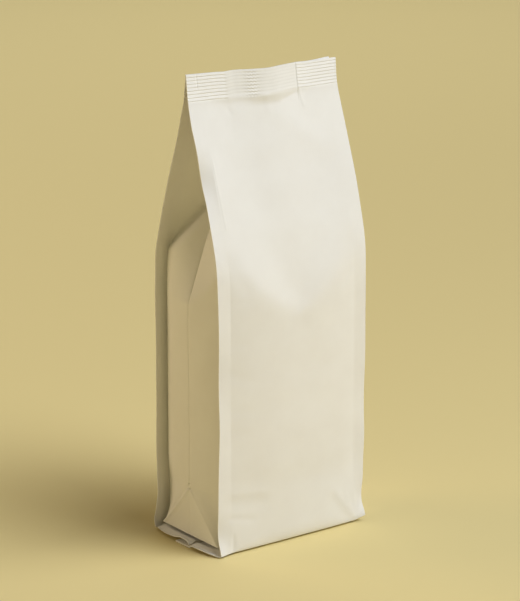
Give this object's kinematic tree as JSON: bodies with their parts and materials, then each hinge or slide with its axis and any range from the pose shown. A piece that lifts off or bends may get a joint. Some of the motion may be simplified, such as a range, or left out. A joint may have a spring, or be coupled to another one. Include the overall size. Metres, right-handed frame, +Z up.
{
  "type": "side gusset bag",
  "caption": "Filled side gusset bag with sealed fins along its upright edges, pleated sides, a ribbed seal across the top and a folded flat bottom on which it stands.",
  "frame": {"origin": "on the floor, under the middle of the bag", "axes": "+Z up along the bag's height, front panel towards -Y, +X to the right seen from the front"},
  "size_m": [0.105, 0.0625, 0.253],
  "materials": {
    "film": "matte warm white laminate film with a faint soft sheen"
  },
  "bodies": {
    "root": {"bag": "film"}
  },
  "joints": []
}
